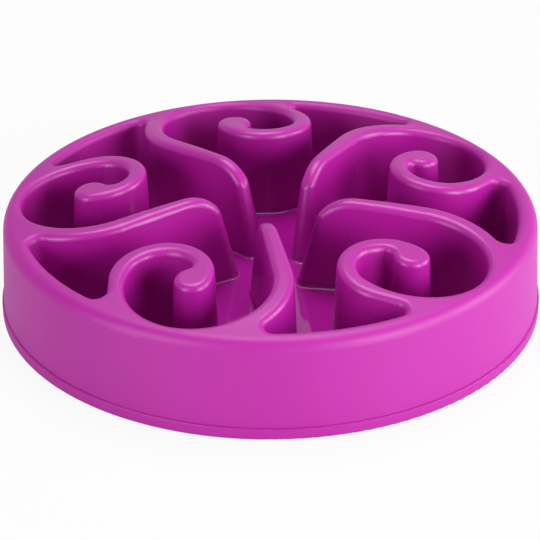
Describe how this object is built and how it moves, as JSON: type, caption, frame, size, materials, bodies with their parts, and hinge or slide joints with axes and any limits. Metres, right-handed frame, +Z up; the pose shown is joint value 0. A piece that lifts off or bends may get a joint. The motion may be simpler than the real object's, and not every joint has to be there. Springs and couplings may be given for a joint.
{
  "type": "slow feeder bowl",
  "caption": "Round moulded pet bowl with a maze of curled hooks and spines that slows eating, closed below by a base cover on rubber feet.",
  "frame": {"origin": "on the table under the centre of the bowl", "axes": "+Z up, -Y towards the front of the picture, +X to its right"},
  "size_m": [0.28, 0.28, 0.0639],
  "materials": {
    "bowl": "gloss, one magenta purple throughout",
    "base": "gloss, the same magenta purple",
    "foot": "matt dark rubber"
  },
  "bodies": {
    "root": {"maze_bowl": "bowl", "base_cover": "base", "rubber_foot_1": "foot", "rubber_foot_2": "foot", "rubber_foot_3": "foot", "rubber_foot_4": "foot", "rubber_foot_5": "foot"}
  },
  "joints": []
}
